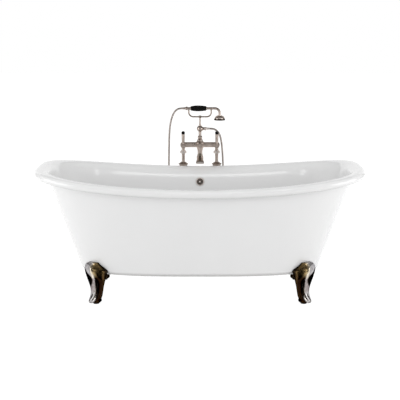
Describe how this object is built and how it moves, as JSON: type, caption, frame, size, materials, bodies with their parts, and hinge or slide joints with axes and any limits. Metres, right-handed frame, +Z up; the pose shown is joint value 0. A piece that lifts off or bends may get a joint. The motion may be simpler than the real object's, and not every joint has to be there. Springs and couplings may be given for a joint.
{
  "type": "footed bathtub with bath shower mixer",
  "caption": "Double-ended freestanding bathtub on cast feet, with a rolled rim and a rim-mounted bath and shower mixer carrying a cradled handset and hose.",
  "frame": {"origin": "on the floor under the middle of the bath", "axes": "+X along the bath to the right, +Y from the front to the back where the taps stand, +Z up"},
  "size_m": [1.6401, 0.7421, 0.9268],
  "materials": {
    "white_acrylic": "high gloss",
    "plywood": "raw, resin coated",
    "timber": "sawn",
    "foot_metal": "cast, plated and polished to an antique tone",
    "zinc_steel": "zinc plated",
    "black_rubber": "matte",
    "polished_nickel": "polished",
    "white_plastic": "moulded",
    "plain_brass": "machined",
    "black_plastic": "gloss",
    "dark_bronze": "polished, darkened",
    "hose_metal": "interlocked metal strip"
  },
  "bodies": {
    "bath": {"inner_tub": "white_acrylic", "outer_skin": "white_acrylic", "base_board": "plywood", "cross_bearers": "timber", "side_rails": "timber", "front_left_foot": "foot_metal", "front_right_foot": "foot_metal", "rear_left_foot": "foot_metal", "rear_right_foot": "foot_metal", "foot_bolts": "zinc_steel", "foot_pads": "black_rubber", "waste_flange": "polished_nickel", "waste_gasket": "black_rubber", "waste_body": "white_plastic", "waste_plug_guide": "polished_nickel", "overflow_faceplate": "polished_nickel", "overflow_screw": "polished_nickel", "overflow_gasket": "black_rubber", "overflow_box": "white_plastic", "overflow_pipe": "white_plastic", "overflow_pipe_nuts": "white_plastic", "left_pillar": "polished_nickel", "left_pillar_flange": "polished_nickel", "left_union_nut": "polished_nickel", "right_pillar": "polished_nickel", "right_pillar_flange": "polished_nickel", "right_union_nut": "polished_nickel", "clamp_washers": "zinc_steel", "backnuts": "plain_brass", "mixer_body": "polished_nickel", "spout": "polished_nickel", "left_valve_cartridge": "plain_brass", "right_valve_cartridge": "plain_brass", "diverter_cartridge": "plain_brass", "riser_collar": "polished_nickel", "riser": "polished_nickel", "cradle": "polished_nickel", "outlet_hose_nut": "polished_nickel", "outlet_hose_ferrule": "polished_nickel", "hose": "hose_metal"},
    "left_lever": {"left_lever": "polished_nickel", "left_lever_cap": "polished_nickel", "left_lever_tip": "black_plastic"},
    "right_lever": {"right_lever": "polished_nickel", "right_lever_cap": "polished_nickel", "right_lever_tip": "black_plastic"},
    "diverter": {"diverter_lever": "polished_nickel", "diverter_tip": "dark_bronze"},
    "plug": {"waste_plug": "polished_nickel"},
    "handset": {"handset_tube": "polished_nickel", "handset_grip": "black_plastic", "grip_ferrules": "polished_nickel", "handset_rose": "polished_nickel", "rose_plate": "polished_nickel", "handset_hose_nut": "polished_nickel", "handset_hose_ferrule": "polished_nickel"}
  },
  "joints": [
    {"name": "left_lever_turn", "type": "hinge", "parent": "bath", "child": "left_lever", "pos_m": [-0.09, 0.3105, 0.715], "axis": [0, -1, 0], "range_deg": [0, 90]},
    {"name": "right_lever_turn", "type": "hinge", "parent": "bath", "child": "right_lever", "pos_m": [0.09, 0.3105, 0.715], "axis": [0, 1, 0], "range_deg": [0, 90]},
    {"name": "diverter_turn", "type": "hinge", "parent": "bath", "child": "diverter", "pos_m": [0, 0.299, 0.715], "axis": [0, -1, 0], "range_deg": [0, 90]},
    {"name": "waste_plug_rise", "type": "slide", "parent": "bath", "child": "plug", "axis": [0, 0, 1], "range_m": [0, 0.009]},
    {"name": "handset_lift", "type": "slide", "parent": "bath", "child": "handset", "axis": [0, 0, 1], "range_m": [0, 0.06]}
  ]
}
